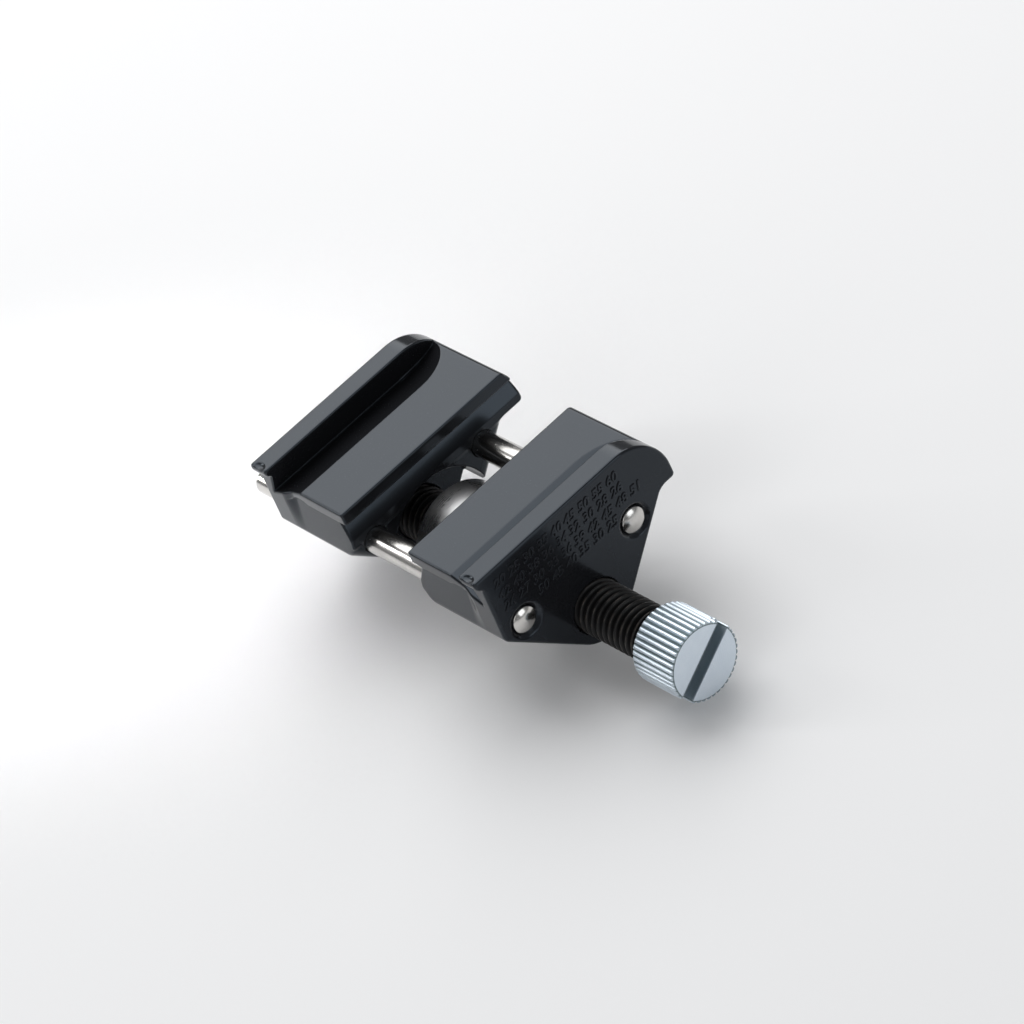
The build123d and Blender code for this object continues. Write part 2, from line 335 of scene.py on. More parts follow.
@dataclass(frozen=True)
class WorkedSteel(Finish):
    """Bright steel with the fine rings that turning or grinding leaves round its axis."""

    pale: Colour = (0.66, 0.64, 0.61)
    dull: Colour = (0.44, 0.43, 0.42)
    smooth: float = 0.12
    ring_scale: float = 9.0
    ring_depth: float = 0.0016

    def make(self, recipe: Recipe) -> bpy.types.Material:
        """Build the steel.

        Args:
            recipe: The empty recipe.

        Returns:
            The material.
        """
        rings = recipe.noise(self.ring_scale, 3.0, (0.06, 1.0, 0.06))
        stain = recipe.clamp(recipe.noise(0.22, 4.0), 0.35, 0.75)
        nick = recipe.clamp(recipe.noise(3.1, 2.0), 0.70, 0.76)
        colour = recipe.mix(stain * 0.55 + rings * 0.25, self.pale, self.dull)
        return recipe.surface(
            Base_Color=colour,
            Metallic=1.0,
            Roughness=self.smooth + 0.12 * rings + 0.08 * stain + 0.15 * nick,
            Normal=recipe.bump(rings, self.ring_depth),
        )


@dataclass(frozen=True)
class ZincPlate(Finish):
    """Bright, slightly blue zinc plate with a fine crystalline grain."""

    blue: Colour = (0.52, 0.60, 0.68)
    white: Colour = (0.74, 0.80, 0.86)
    # Painted shade: the darker colour laid into the knurl's hollows and inside the slot.
    hollow_shade: Colour = (0.085, 0.125, 0.125)
    grain_depth: float = 0.003
    crest_radius: float = 7.2
    face: float = 59.3

    def make(self, recipe: Recipe) -> bpy.types.Material:
        """Build the plating, with shade painted darker into the knurl's hollows and into the slot.

        Args:
            recipe: The empty recipe.

        Returns:
            The material.
        """
        grain = recipe.noise(7.0, 3.0)
        cloud = recipe.noise(0.5, 3.0)
        distance = recipe.spindle_distance()
        floor = self.crest_radius - KNURL_DEPTH
        rim = recipe.clamp(distance, floor - 0.10, floor - 0.02)
        ridge = recipe.clamp(distance, floor + 0.02, self.crest_radius - 0.06)
        height = recipe.node("ShaderNodeSeparateXYZ", values={0: recipe.place()}, output="Y")
        sunk = 1 - recipe.clamp(height, self.face - 0.55, self.face - 0.10)
        inner = 1 - recipe.clamp(distance, floor - 0.12, floor - 0.04)
        # Painted shade in the knurl's hollows and inside the slot; the plating is also rougher there.
        painted_shade = rim * (1 - ridge) + inner * sunk * 0.56
        plate = recipe.mix(grain * 0.6 + cloud * 0.4, self.blue, self.white)
        return recipe.surface(
            Base_Color=recipe.mix(painted_shade * 0.85, plate, self.hollow_shade),
            Metallic=1.0,
            Roughness=0.24 + 0.14 * grain + 0.18 * painted_shade,
            Normal=recipe.bump(grain, self.grain_depth),
        )


@dataclass(frozen=True)
class SinteredBronze(Finish):
    """Oil-soaked sintered bronze with open pores."""

    bright: Colour = (0.56, 0.36, 0.17)
    oily: Colour = (0.24, 0.14, 0.06)

    def make(self, recipe: Recipe) -> bpy.types.Material:
        """Build the bronze.

        Args:
            recipe: The empty recipe.

        Returns:
            The material.
        """
        pores = recipe.clamp(recipe.noise(6.0, 2.0), 0.56, 0.66)
        cloud = recipe.noise(0.6, 3.0)
        return recipe.surface(
            Base_Color=recipe.mix(pores * 0.7 + cloud * 0.3, self.bright, self.oily),
            Metallic=1.0,
            Roughness=0.30 + 0.25 * pores,
            Normal=recipe.bump(1 - pores, 0.010),
        )


@dataclass(frozen=True)
class SpringSteel(Finish):
    """Phosphated spring steel, grey-black with a fine salt-like grain."""

    dark: Colour = (0.045, 0.045, 0.048)
    pale: Colour = (0.12, 0.12, 0.125)

    def make(self, recipe: Recipe) -> bpy.types.Material:
        """Build the phosphated steel.

        Args:
            recipe: The empty recipe.

        Returns:
            The material.
        """
        grain = recipe.noise(9.0, 2.0)
        worn = recipe.sharpness() * 0.8 + grain * 0.3
        return recipe.surface(
            Base_Color=recipe.mix(worn, self.dark, self.pale),
            Metallic=0.7,
            Roughness=0.42 + 0.18 * grain,
            Normal=recipe.bump(grain, 0.004),
        )


@dataclass(frozen=True)
class PaleBoard(Finish):
    """The plain pale floor."""

    tone: Colour = (0.87, 0.87, 0.875)
    dimmest: float = 0.985

    def make(self, recipe: Recipe) -> bpy.types.Material:
        """Build the floor's matt paint.

        Args:
            recipe: The empty recipe.

        Returns:
            The material.
        """
        cloud = recipe.noise(0.004, 2.0)
        shade = tuple(self.dimmest * level for level in self.tone)
        return recipe.surface(Base_Color=recipe.mix(cloud, shade, self.tone), Roughness=0.75)


class Finishes(Enum):
    """The finishes of this guide, each with the record's material slot."""

    ENAMEL = (GlossEnamel("gloss_black_enamel"), "jaw_paint")
    OXIDE = (BlackOxide("oiled_black_oxide"), "black_oxide")
    ROD = (WorkedSteel("ground_rod_steel"), "rod_steel")
    ZINC = (ZincPlate("bright_zinc_plate"), "zinc_plate")
    ROLLER = (
        WorkedSteel("turned_roller_steel", (0.56, 0.56, 0.565), (0.40, 0.40, 0.41), 0.20, 5.0, 0.003),
        "roller_steel",
    )
    BRONZE = (SinteredBronze("sintered_bronze"), "bush_bronze")
    WASHER = (
        WorkedSteel("stamped_washer_steel", (0.50, 0.50, 0.50), (0.34, 0.34, 0.35), 0.28, 2.0, 0.004),
        "washer_steel",
    )
    SPRING = (SpringSteel("phosphated_spring_steel"), "clip_steel")

    @property
    def finish(self) -> Finish:
        """How the finish is made."""
        return self.value[0]

    @property
    def slot(self) -> str:
        """The record's material slot."""
        return self.value[1]


# ---- Mesh making ----


def linked(name: str, data: bpy.types.ID) -> bpy.types.Object:
    """An object for a mesh, light or camera, linked to the scene."""
    made = bpy.data.objects.new(name, data)
    bpy.context.scene.collection.objects.link(made)
    return made


def new_piece(
    name: str, points: Grid, faces: Grid | Faces, normals: Grid | None = None
) -> bpy.types.Object:
    """Make a smooth-shaded mesh object.

    Args:
        name: The piece's name.
        points: Vertices in millimetres, one row each.
        faces: Vertex numbers of each face.
        normals: A normal for each vertex, if the shape's own are known.

    Returns:
        The object, linked to the scene.
    """
    mesh = bpy.data.meshes.new(name)
    rows = faces.tolist() if isinstance(faces, np.ndarray) else faces
    mesh.from_pydata((points * MM).tolist(), [], rows)
    mesh.polygons.foreach_set("use_smooth", np.ones(len(mesh.polygons), bool))
    mesh.update()
    if normals is not None:
        mesh.normals_split_custom_set_from_vertices(normals.tolist())
    return linked(name, mesh)


def dress(piece: bpy.types.Object, finish: Finishes, body: str, *nodes: str) -> None:
    """Give a piece its finish, the body it rides on and the CAD nodes it stands for.

    Args:
        piece: The piece.
        finish: Its finish.
        body: The CAD body it moves with.
        *nodes: CAD nodes that it replaces.
    """
    piece.data.materials.clear()
    piece.data.materials.append(finish.finish.material())
    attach(piece, body)
    if nodes:
        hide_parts(*nodes)
    LOG.info("%s: %d faces on %s", piece.name, len(piece.data.polygons), body)


def cad_box(node: str) -> tuple[Grid, Grid]:
    """Lowest and highest corner of a CAD node, in millimetres."""
    low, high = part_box(node)
    return np.array(low) / MM, np.array(high) / MM


def common(first: Grid, second: Grid, radius: float) -> Grid:
    """Field of what two shapes share, with its outer edge rounded."""
    corner = np.hypot(np.maximum(first + radius, 0), np.maximum(second + radius, 0))
    return np.minimum(np.maximum(first, second), -radius) + corner


def joined(first: Grid, second: Grid, radius: float) -> Grid:
    """Field of two shapes joined, with a fillet where they meet."""
    return -common(-first, -second, radius)


def without(body: Grid, cut: Grid, radius: float) -> Grid:
    """Field of a body less a cut, with the cut's edge rounded."""
    return common(body, -cut, radius)


def ease(low: float, high: float, value: Grid) -> Grid:
    """Smooth step from 0 at low to 1 at high."""
    share = np.clip((value - low) / (high - low), 0, 1)
    return share * share * (3 - 2 * share)


def past_line(
    along: Grid, up: Grid, start: tuple[Grid | float, float], square: tuple[float, float]
) -> Grid:
    """Distance past a sloping line.

    Args:
        along: First coordinate of each place.
        up: Second coordinate of each place.
        start: A point on the line.
        square: Direction square to the line, of any length.

    Returns:
        The distance in that direction, negative on the other side.
    """
    offset = (along - start[0]) * square[0] + (up - start[1]) * square[1]
    return offset / math.hypot(*square)


@dataclass(frozen=True)
class FieldMesher:
    """Turns a distance field into an even quad mesh with the field's own normals."""

    step: float
    settle_rounds: int = 4
    probe: float = 0.03
    least_square: float = 0.25

    def gradient(self, field: Field, points: Grid) -> Grid:
        """Slope of a field, by central differences.

        Args:
            field: The field.
            points: Places, one row each.

        Returns:
            The slope along each axis at each place.
        """
        slopes = np.empty_like(points)
        for axis in range(3):
            shift = np.zeros(3)
            shift[axis] = self.probe
            ahead = field(*(points + shift).T)
            behind = field(*(points - shift).T)
            slopes[:, axis] = (ahead - behind) / (2 * self.probe)
        return slopes

    def net(self, levels: Grid) -> tuple[Grid, Grid]:
        """Quads through the cells where the field changes sign.

        Args:
            levels: The field on a regular grid.

        Returns:
            Vertices in grid steps, and quads that face outwards.
        """
        inside = levels < 0
        strides = np.array([levels.shape[1] * levels.shape[2], levels.shape[2], 1])
        cells, crossings, quads = [], [], []
        for axis in range(3):
            second, third = (axis + 1) % 3, (axis + 2) % 3
            here = [slice(None)] * 3
            there = [slice(None)] * 3
            here[axis], there[axis] = slice(None, -1), slice(1, None)
            spots = np.argwhere(inside[tuple(here)] != inside[tuple(there)])
            spots = spots[(spots[:, second] > 0) & (spots[:, third] > 0)]
            unit = np.eye(3, dtype=int)[axis]
            near = levels[tuple(spots.T)]
            far = levels[tuple((spots + unit).T)]
            crossing = spots + (near / (near - far))[:, None] * unit
            number = spots @ strides
            down, left = number - strides[second], number - strides[third]
            around = np.stack([number, down, down - strides[third], left], axis=1)
            inward = near > 0
            around[inward] = around[inward][:, ::-1]
            quads.append(around)
            cells.append(around.ravel())
            crossings.append(np.repeat(crossing, 4, axis=0))
        order = np.unique(np.concatenate(cells), return_inverse=True)[1]
        crossing = np.concatenate(crossings)
        count = np.bincount(order)
        middle = [np.bincount(order, crossing[:, axis]) / count for axis in range(3)]
        return np.stack(middle, axis=1), order.reshape(-1, 4)

    def build(self, field: Field, low: Grid, high: Grid) -> tuple[Grid, Grid, Grid]:
        """Mesh a field.

        Args:
            field: Distance to the surface in millimetres, negative inside.
            low: Lowest corner of the shape's box.
            high: Highest corner of the shape's box.

        Returns:
            Vertices in millimetres, quads and vertex normals.
        """
        margin = 1.5 * self.step
        axes = [np.arange(a - margin, b + margin + self.step, self.step) for a, b in zip(low, high)]
        levels = field(*np.meshgrid(*axes, indexing="ij"))
        steps, quads = self.net(levels)
        points = steps * self.step + (low - margin)
        for _ in range(self.settle_rounds):
            slopes = self.gradient(field, points)
            square = np.maximum((slopes**2).sum(axis=1), self.least_square)
            level = np.clip(field(*points.T), -self.step, self.step)
            points = points - slopes * (level / square)[:, None]
        slopes = self.gradient(field, points)
        lengths = np.maximum(np.linalg.norm(slopes, axis=1, keepdims=True), 1e-9)
        return points, quads, slopes / lengths


@dataclass(frozen=True)
class Turning:
    """A turned shape about the spindle's direction, from corners that may be rounded."""

    corners: tuple[Triple, ...]
    segments: int = 128
    arc_steps: int = 6

    def outline(self, closed: bool) -> Grid:
        """The half section as points of radius and length.

        Args:
            closed: True for a ring, whose outline meets itself.

        Returns:
            One row for each point.
        """
        rows: list[Grid] = []
        count = len(self.corners)
        for index, (radius, along, rounding) in enumerate(self.corners):
            here = np.array([radius, along])
            if rounding == 0 or (not closed and index in (0, count - 1)):
                rows.append(here)
                continue
            before = np.array(self.corners[index - 1][:2]) - here
            after = np.array(self.corners[(index + 1) % count][:2]) - here
            before /= np.linalg.norm(before)
            after /= np.linalg.norm(after)
            half = math.acos(float(np.clip(before @ after, -1, 1))) / 2
            start = here + before * rounding / math.tan(half)
            end = here + after * rounding / math.tan(half)
            middle = here + (before + after) / np.linalg.norm(before + after) * rounding / math.sin(half)
            first, last = start - middle, end - middle
            turn = math.pi - 2 * half
            for step in range(self.arc_steps + 1):
                share = step / self.arc_steps
                weight = math.sin((1 - share) * turn), math.sin(share * turn)
                rows.append(middle + (first * weight[0] + last * weight[1]) / math.sin(turn))
        return np.array(rows)

    def mesh(self, closed: bool) -> tuple[Grid, Faces]:
        """Vertices and faces of the turned shape.

        Args:
            closed: True for a ring; False for a shape whose ends lie on the axis.

        Returns:
            Vertices in millimetres, and faces.
        """
        outline = self.outline(closed)
        rows = outline if closed else outline[1:-1]
        tips = () if closed else (outline[0, 1], outline[-1, 1])
        return wrapped(rows[:, :1], rows[:, 1:], self.segments, tips)


def wrapped(
    radius: Grid, along: Grid, segments: int, tips: tuple[float, ...]
) -> tuple[Grid, Faces]:
    """Vertices and faces of rings about the spindle's direction.

    Args:
        radius: Radius of each ring, as a column, or at each of its vertices.
        along: Place of each ring, as a column.
        segments: Vertices in each ring.
        tips: Places on the axis that close the ends; with none, the last ring meets the first.

    Returns:
        Vertices in millimetres, and faces.
    """
    angles = np.arange(segments) * FULL_TURN / segments
    column = np.repeat(along, segments, axis=1)
    points = np.stack([radius * np.sin(angles), column, radius * np.cos(angles)], axis=2)
    points = points.reshape(-1, 3)
    rows = len(along)
    faces = grid_faces(rows, segments, not tips)
    if tips:
        points = np.vstack([points, *([0, tip, 0] for tip in tips)])
        faces += end_fan(0, segments, rows * segments, False)
        faces += end_fan(rows - 1, segments, rows * segments + 1, True)
    return points, faces


def grid_faces(rows: int, segments: int, closed: bool) -> Faces:
    """Quads between rings of vertices.

    Args:
        rows: How many rings there are.
        segments: Vertices in each ring.
        closed: True joins the last ring to the first.

    Returns:
        The quads.
    """
    faces = []
    for row in range(rows if closed else rows - 1):
        below, above = row * segments, (row + 1) % rows * segments
        for column in range(segments):
            beside = (column + 1) % segments
            faces.append((below + column, above + column, above + beside, below + beside))
    return faces


def end_fan(row: int, segments: int, tip: int, last: bool) -> Faces:
    """Triangles that close a ring with a point on the axis.

    Args:
        row: Number of the ring.
        segments: Vertices in the ring.
        tip: Vertex number of the point.
        last: True at the high end, False at the low end.

    Returns:
        The triangles.
    """
    start = row * segments
    pairs = [(start + column, start + (column + 1) % segments) for column in range(segments)]
    return [(one, tip, other) if last else (other, tip, one) for one, other in pairs]


# ---- Jaws ----


class Side(Enum):
    """The two jaws, each with its CAD node, which is also its body."""

    KNOB = "knob_side_jaw"
    FAR = "far_jaw"


@dataclass
class Jaw:
    """One cast jaw: a V-shaped body with a chisel groove, a deck, and an undercut rim with a nose."""

    side: Side
    mesh_step: float = 0.27
    back_corner: float = 9.4
    tail_ledge: float = 10.1
    ledge_fillet: float = 0.7
    foot_round: float = 0.8
    nose_height: float = 1.5
    nose_slope: float = 0.7
    nose_round: float = 0.55
    nose_fillet: float = 0.3
    plate_step: float = 0.5
    front_edge: float = 17.1
    front_foot: float = 18.1
    band_proud: float = 0.32
    band_height: float = 2.6
    band_in_groove: float = 1.5
    band_round: float = 0.3
    band_taper_start: float = 19.5
    band_taper_end: float = 23.0
    plate_start: float = 23.8
    plate_full: float = 27.0
    front_round: float = 0.55
    outer_round: float = 0.5
    lip_underside: float = 15.5
    lip_thickness: float = 2.6
    lip_round: float = 0.4
    chisel_groove_depth: float = 2.2
    chisel_groove_height: float = 3.7
    chisel_groove_round: float = 0.3
    face_recess: float = 0.4
    inner_corner: float = 3.0
    rim_width: float = 4.7
    rim_root: float = 2.3
    rim_round: float = 0.45
    iron_groove_width: float = 8.2
    iron_groove_depth: float = 2.5
    groove_root_fillet: float = 0.25
    groove_edge_round: float = 0.05
    dimple_centre: Triple = (17.95, 29.3, 22.12)
    dimple_reach: Triple = (0.75, 1.40, 0.45)
    dimple_edge: float = 0.10
    runout_start: float = -12.2
    runout_length: float = 9.5
    pocket_radius: float = 10.9
    pocket_depth: float = 8.0
    pocket_edge: float = 0.25
    bore_clearance: float = 0.06
    mouth_round: float = 0.3
    mouth_chamfer: float = 0.8
    mouth_edge: float = 0.15

    def __post_init__(self) -> None:
        """Read the jaw's place and the spindle's and rods' sizes from the frame."""
        low, high = cad_box(self.side.value)
        reach = sorted(abs(edge) for edge in (low[1], high[1]))
        self.lip_edge, self.outer_face = reach
        self.back_face, self.nose_front = low[0], high[0]
        self.boss_radius, self.rim_top = -low[2], high[2]
        self.low = np.array([low[0], reach[0], low[2]])
        self.high = np.array([high[0], reach[1], high[2]])
        self.bore_radius = cad_box("spindle")[1][0] + self.bore_clearance
        rod_low, rod_high = cad_box("guide_rod_front")
        self.rod_x = (rod_low[0] + rod_high[0]) / 2
        self.rod_z = (rod_low[2] + rod_high[2]) / 2
        self.rod_radius = (rod_high[0] - rod_low[0]) / 2
        self.deck = self.lip_underside + self.lip_thickness
        self.inner_face = self.lip_edge + self.face_recess

    def outline(self, x: Grid, y: Grid, z: Grid) -> Grid:
        """Field of the side outline: rounded back, tail ledge, flanks and boss.

        Args:
            x, y, z: Places, in millimetres.

        Returns:
            The field at each place.
        """
        crown = common(z - self.rim_top, self.back_face - x, self.back_corner)
        radius = self.boss_radius
        flanks = common((x - z) * DIAGONAL - radius, (-x - z) * DIAGONAL - radius, radius)
        flanks = common(flanks, self.inner_face - y, self.inner_corner)
        lower = joined(flanks, self.tail_ledge - z, self.ledge_fillet)
        return common(crown, lower, self.foot_round)

    def front(self, x: Grid, y: Grid, z: Grid) -> Grid:
        """Field of the front: a leaning face below the deck's band, and the plate with its nose.

        Args:
            x, y, z: Places, in millimetres.

        Returns:
            The field at each place.
        """
        foot_z = self.front_foot - self.boss_radius * math.sqrt(2)
        recessed = self.front_edge - self.band_proud
        square = (self.lip_underside - foot_z, self.front_foot - recessed)
        face = past_line(x, z, (recessed, self.lip_underside), square)
        taper = ease(self.band_taper_start, self.band_taper_end, y)
        depth = self.band_height + (self.band_in_groove - self.band_height) * taper
        band = common(x - self.front_edge, self.top_surface(x, y) - depth - z, self.band_round)
        plate_front = self.front_edge + self.plate_step
        nose_under = self.rim_top - self.nose_height
        plate_top = nose_under - self.nose_slope
        start = (plate_front, plate_top)
        plate = past_line(x, z, start, (plate_top - foot_z, self.front_foot - plate_front))
        under = past_line(x, z, start, (self.nose_slope, plate_front - self.nose_front))
        nose = common(x - self.nose_front, under, self.nose_round)
        plate = joined(plate, nose, self.nose_fillet)
        share = ease(self.plate_start, self.plate_full, y)
        return np.minimum(band, face) * (1 - share) + plate * share

    def groove_edge(self, x: Grid) -> Grid:
        """Where the plane iron groove meets the deck; at the back it runs out to the rim.

        Args:
            x: Places along the jaw.

        Returns:
            Y of the edge at each place.
        """
        wall = self.wall(self.deck)
        full = self.outer_face - self.rim_root - self.iron_groove_width
        share = np.clip((self.runout_start - x) / self.runout_length, 0, 1)
        return wall - (wall - full) * np.sqrt(1 - share * share)

    def wall(self, z: Grid | float) -> Grid | float:
        """The rim's undercut wall at height z.

        Args:
            z: Height, in millimetres.

        Returns:
            Y of the wall there.
        """
        top = self.outer_face - self.rim_width
        root = self.outer_face - self.rim_root
        height = self.rim_top - self.deck + self.iron_groove_depth
        return top + (self.rim_top - z) * (root - top) / height

    def top_surface(self, x: Grid, y: Grid) -> Grid:
        """Height of the deck, and of the groove's floor in front of its root."""
        fall = (y - self.groove_edge(x)) * self.iron_groove_depth / self.iron_groove_width
        return self.deck - np.maximum(fall, 0)

    def above_deck(self, x: Grid, y: Grid, z: Grid) -> Grid:
        """Field of what stands below the deck and groove floor, or behind the rim's wall.

        Args:
            x, y, z: Places, in millimetres.

        Returns:
            The field at each place.
        """
        pitch = self.iron_groove_depth / self.iron_groove_width
        sloped = past_line(y, z, (self.groove_edge(x), self.deck), (pitch, 1))
        floor = common(z - self.deck, sloped, self.groove_edge_round)
        return joined(floor, self.wall(z) - y, self.groove_root_fillet)

    def chisel_groove(self, y: Grid, z: Grid) -> Grid:
        """Field of the V groove below the lip and of the recess under it.

        Args:
            y, z: Places, in millimetres.

        Returns:
            The field at each place.
        """
        floor = self.lip_underside - self.chisel_groove_height
        run = self.chisel_groove_depth - self.face_recess
        slope = run / self.chisel_groove_height
        sloped = past_line(y, z, (self.inner_face, floor), (1, -slope))
        deep = np.minimum(y - self.inner_face, sloped)
        return common(z - self.lip_underside, deep, self.chisel_groove_round)

    def dimple(self, x: Grid, y: Grid, z: Grid) -> Grid:
        """Field of the small oval dimple in the top of the rim's nose."""
        shares = [(q - c) / r for q, c, r in zip((x, y, z), self.dimple_centre, self.dimple_reach)]
        return (np.sqrt(sum(share * share for share in shares)) - 1) * self.dimple_reach[2]

    def field(self, x: Grid, y: Grid, z: Grid) -> Grid:
        """Field of the whole jaw, drawn on the knob's side of the roller.

        Args:
            x, y, z: Places, in millimetres.

        Returns:
            The field at each place.
        """
        body = common(self.outline(x, y, z), self.front(x, y, z), self.front_round)
        body = common(body, y - self.outer_face, self.outer_round)
        body = common(body, self.above_deck(x, y, z), self.rim_round)
        body = common(body, self.lip_edge - y, self.lip_round)
        body = without(body, self.chisel_groove(y, z), self.lip_round)
        axis = np.hypot(x, z)
        pocket_end = self.lip_edge + self.pocket_depth
        pocket = common(axis - self.pocket_radius, y - pocket_end, self.mouth_round)
        body = without(body, pocket, self.pocket_edge)
        body = without(body, axis - self.bore_radius, self.mouth_round)
        body = without(body, self.dimple(x, y, z), self.dimple_edge)
        for hand in (1, -1):
            hole = np.hypot(x - hand * self.rod_x, z - self.rod_z) - self.rod_radius
            mouth = (hole - (y - self.outer_face + self.mouth_chamfer)) * DIAGONAL
            body = without(body, np.minimum(hole, mouth), self.mouth_edge)
        return body

    def build(self) -> bpy.types.Object:
        """Mesh the jaw, on its own side, and dress it.

        Returns:
            The piece.
        """
        points, quads, normals = FieldMesher(self.mesh_step).build(self.field, self.low, self.high)
        if self.side is Side.FAR:
            mirror = np.array([1, -1, 1])
            points, normals, quads = points * mirror, normals * mirror, quads[:, ::-1]
        piece = new_piece(f"{self.side.value}_casting", points, quads, normals)
        dress(piece, Finishes.ENAMEL, self.side.value, self.side.value)
        return piece


@dataclass
class FaceNumerals:
    """Raised numbers in four rows on the knob-side jaw's outer face: a plain projection scale."""

    rows: tuple[tuple[str, str], ...] = (
        ("20 25 30 35 40", "45 50 55 60"),
        ("42 40 38 36 34", "32 30 28 26"),
        ("24 27 30 33 36", "39 42 45 48 51"),
        ("50 45 40", "35 30 25"),
    )
    row_heights: tuple[float, ...] = (19.1, 16.6, 14.05, 11.6)
    left_start: float = 15.6
    right_start: float = -0.8
    fourth_start: float = 8.9
    size: float = 2.55
    slant: float = 0.28
    raised: float = 0.22
    sunk: float = 0.12
    edge_round: float = 0.07
    letter_spacing: float = 1.02
    thinning: float = 0.01
    edge_steps: int = 2
    curve_steps: int = 4

    def block(self, text: str, start: float, height: float, name: str) -> bpy.types.Object:
        """One group of numbers.

        Args:
            text: The numbers.
            start: X of its first digit.
            height: Z of its middle.
            name: The piece's name.

        Returns:
            A mesh object.
        """
        curve = bpy.data.curves.new(name, "FONT")
        curve.body = text
        curve.size = self.size * MM
        curve.shear = self.slant
        curve.space_character = self.letter_spacing
        curve.align_y = "CENTER"
        curve.extrude = (self.raised + self.sunk) / 2 * MM
        curve.bevel_depth = self.edge_round * MM
        curve.bevel_resolution = self.edge_steps
        curve.resolution_u = self.curve_steps
        curve.offset = -self.thinning * MM
        holder = bpy.data.objects.new(name, curve)
        mesh = bpy.data.meshes.new_from_object(holder)
        bpy.data.objects.remove(holder)
        bpy.data.curves.remove(curve)
        face = cad_box("knob_side_jaw")[1][1]
        middle = face + (self.raised - self.sunk) / 2 - self.edge_round
        turn = Matrix(((-1, 0, 0), (0, 0, 1), (0, 1, 0))).to_4x4()
        place = Matrix.Translation(Vector((start, middle, height)) * MM)
        mesh.transform(place @ turn)
        mesh.name = name
        return linked(name, mesh)

    def build(self) -> None:
        """Make and dress every group."""
        for number, ((left, right), height) in enumerate(zip(self.rows, self.row_heights), 1):
            start = self.fourth_start if number == len(self.rows) else self.left_start
            for text, begin, where in ((left, start, "front"), (right, self.right_start, "rear")):
                piece = self.block(text, begin, height, f"face_numbers_row_{number}_{where}")
                dress(piece, Finishes.ENAMEL, "knob_side_jaw")


# ---- Spindle and knob ----


class Hand(Enum):
    """Which way a thread winds."""

    LEFT = 1
    RIGHT = -1


@dataclass
class Spindle:
    """Spindle with a left-hand thread towards the knob, a right-hand one beyond, and a journal."""

    pitch: float = 1.5
    thread_depth: float = 0.9
    segments: int = 96
    rows_per_turn: int = 14
    crest_share: float = 0.14
    thread_fade: float = 1.2
    end_chamfer: float = 0.9
    shank_radius: float = 3.5
    crease: float = 50.0

    def __post_init__(self) -> None:
        """Read the spindle's ends and radius, and where the knob starts, from the frame."""
        low, high = cad_box("spindle")
        self.radius = high[0]
        self.far_end, self.shank_end = low[1], high[1]
        self.shoulder = cad_box("knob")[0][1]
        self.clip_inner = cad_box("retaining_clip_knob_side")[0][1]
        self.stack_half = cad_box("retaining_clip_knob_side")[1][1]

    def thread(self, along: Grid, angles: Grid, hand: Hand) -> Grid:
        """Radius of a thread.

        Args:
            along: Places along the spindle, as a column.
            angles: Angles about it, as a row.
            hand: Which way it winds.

        Returns:
            The radius at each place and angle.
        """
        phase = (along / self.pitch + hand.value * angles / FULL_TURN) % 1.0
        ramp = np.abs(phase - 0.5) * 2
        flank = ease(self.crest_share, 1 - self.crest_share, ramp)
        return self.radius - self.thread_depth * (1 - flank)

    def rings(self) -> tuple[Grid, Grid]:
        """The rings that make up the spindle.

        Returns:
            The places, and the radius at each place and angle.
        """
        angles = np.arange(self.segments) * FULL_TURN / self.segments
        step = self.pitch / self.rows_per_turn
        far_rows = np.arange(self.far_end, -self.stack_half, step)[:, None]
        near_rows = np.arange(self.stack_half + step, self.shoulder + step / 2, step)[:, None]
        far = self.thread(far_rows, angles, Hand.RIGHT)
        near = self.thread(near_rows, angles, Hand.LEFT)
        fade = np.clip((-self.stack_half - far_rows) / self.thread_fade, 0, 1)
        far = self.radius + (far - self.radius) * fade
        fade = np.clip((near_rows - self.stack_half) / self.thread_fade, 0, 1)
        near = self.radius + (near - self.radius) * fade
        far = np.minimum(far, self.radius - self.end_chamfer + (far_rows - self.far_end))
        groove = self.radius - CLIP_GROOVE_DEPTH
        high_side = [
            (self.clip_inner, self.radius),
            (self.clip_inner, groove),
            (self.stack_half, groove),
            (self.stack_half, self.radius),
        ]
        middle = [(-place, radius) for place, radius in high_side[::-1]] + high_side
        plain = np.array([[radius] * self.segments for _, radius in middle])
        shank = np.full((2, self.segments), self.shank_radius)
        shank_rows = [near_rows[-1, 0], self.shank_end]
        rows = [far_rows[:, 0], [place for place, _ in middle], near_rows[:, 0], shank_rows]
        return np.concatenate(rows), np.vstack([far, plain, near, shank])

    def build(self) -> bpy.types.Object:
        """Mesh the spindle and dress it.

        Returns:
            The piece.
        """
        along, radius = self.rings()
        tips = (along[0], along[-1])
        points, faces = wrapped(radius, along[:, None], self.segments, tips)
        piece = new_piece("threaded_spindle", points, faces)
        piece.data.set_sharp_from_angle(angle=math.radians(self.crease))
        dress(piece, Finishes.OXIDE, "screw", "spindle")
        return piece


